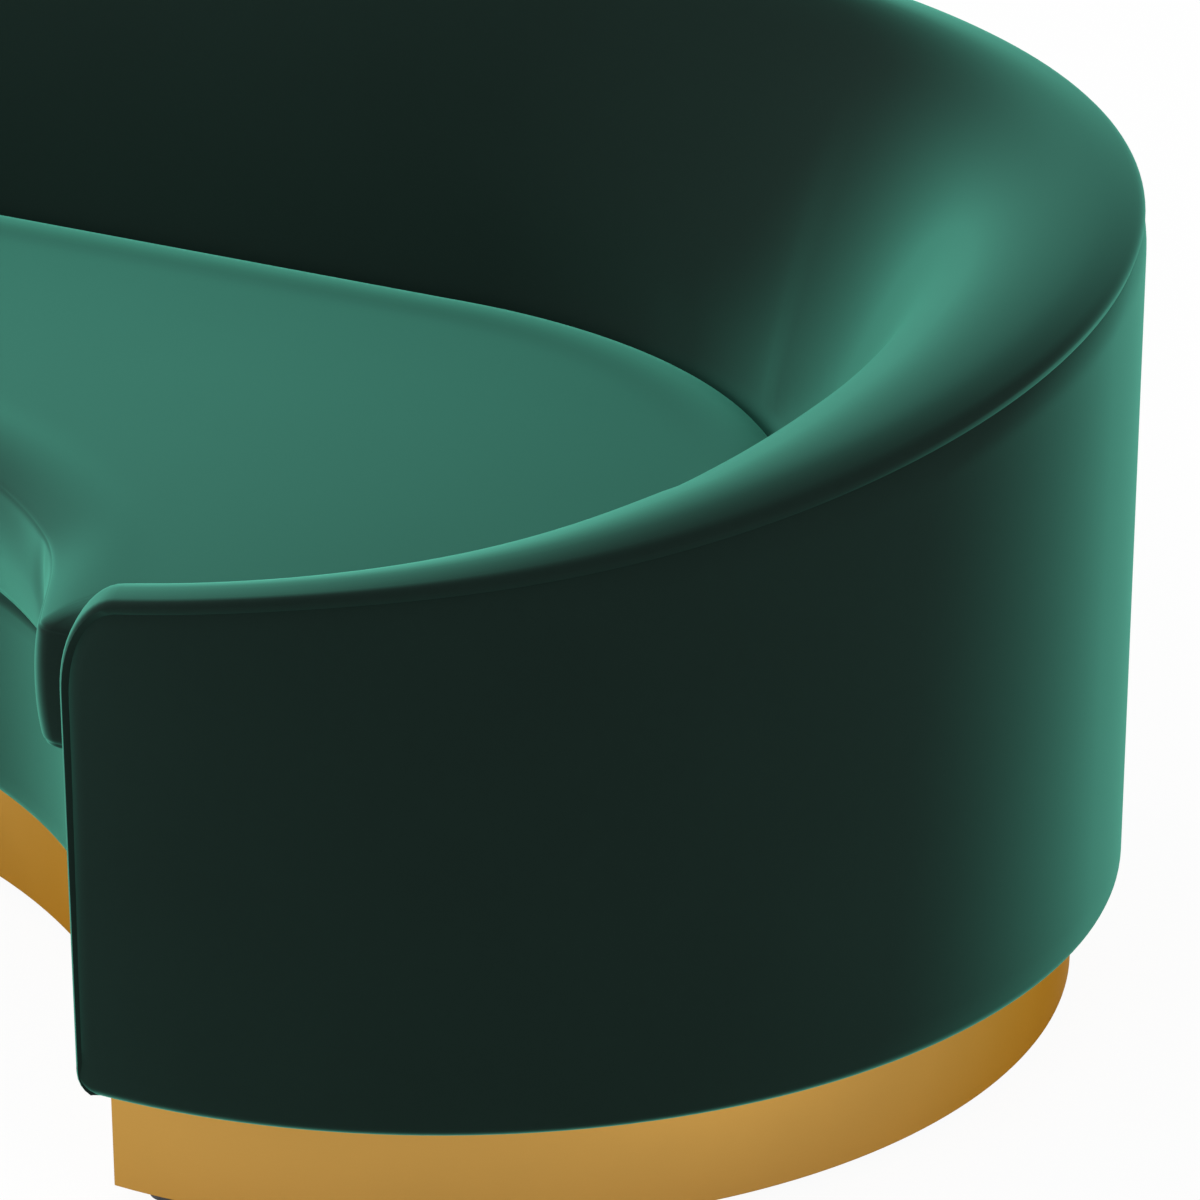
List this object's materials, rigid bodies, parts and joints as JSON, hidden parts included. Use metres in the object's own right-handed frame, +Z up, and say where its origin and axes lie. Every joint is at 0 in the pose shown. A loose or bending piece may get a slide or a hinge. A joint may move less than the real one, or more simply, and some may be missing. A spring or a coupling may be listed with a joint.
{
  "type": "curved corner sofa",
  "caption": "Curved, bean-shaped upholstered sofa with a climbing rim, a loose seat cushion and a metal plinth, to seat several people.",
  "frame": {"origin": "on the floor, under the middle of the sofa's bounding box", "axes": "+X along the back to the sofa's right as seen from the front, +Y to the back, +Z up"},
  "size_m": [2.58, 1.14, 0.7545],
  "materials": {
    "velvet": "deep green cut-pile velvet, dark face on and pale green at grazing angles",
    "gold_metal": "satin gold-coloured sheet metal",
    "grey_plastic": "matte dark grey plastic",
    "steel": "zinc plated",
    "plywood": "unfinished plywood",
    "foam": "cut upholstery foam",
    "webbing": "woven elastic webbing",
    "deck_fabric": "black lining cloth"
  },
  "bodies": {
    "frame": {"arm_facing_left": "velvet", "arm_facing_right": "velvet", "arm_pad_left": "velvet", "arm_pad_right": "velvet", "arm_post_left": "plywood", "arm_post_right": "plywood", "back_pad": "velvet", "back_rail": "plywood", "back_upright_left": "plywood", "back_upright_middle": "plywood", "back_upright_right": "plywood", "chassis_board": "plywood", "deck_board": "plywood", "deck_cloth": "deck_fabric", "end_rail_left": "plywood", "end_rail_right": "plywood", "end_rib_1_left": "plywood", "end_rib_1_right": "plywood", "end_rib_2_left": "plywood", "end_rib_2_right": "plywood", "end_rib_3_left": "plywood", "end_rib_3_right": "plywood", "floor_glides": "grey_plastic", "front_apron": "velvet", "front_rail": "plywood", "glide_screws": "steel", "outer_cover_back": "velvet", "outer_cover_left": "velvet", "outer_cover_right": "velvet", "plinth_block_1": "plywood", "plinth_block_2": "plywood", "plinth_block_3": "plywood", "plinth_block_4": "plywood", "plinth_bolts": "steel", "plinth_bottom_board": "plywood", "plinth_former_back": "plywood", "plinth_former_front": "plywood", "plinth_former_left": "plywood", "plinth_former_right": "plywood", "plinth_rib_left": "plywood", "plinth_rib_right": "plywood", "plinth_skirt_back": "gold_metal", "plinth_skirt_front": "gold_metal", "plinth_skirt_left": "gold_metal", "plinth_skirt_right": "gold_metal", "stretcher_left": "plywood", "stretcher_right": "plywood", "top_rail_back": "plywood", "top_rail_left": "plywood", "top_rail_right": "plywood", "webbing_strap_1": "webbing", "webbing_strap_2": "webbing", "webbing_strap_3": "webbing", "webbing_strap_4": "webbing", "webbing_strap_5": "webbing", "webbing_strap_6": "webbing", "webbing_strap_7": "webbing"},
    "cushion": {"cushion_core": "foam", "cushion_cover": "velvet"}
  },
  "joints": [
    {"name": "cushion_lift", "type": "slide", "parent": "frame", "child": "cushion", "axis": [0, 0, 1], "range_m": [0, 0.5]}
  ]
}
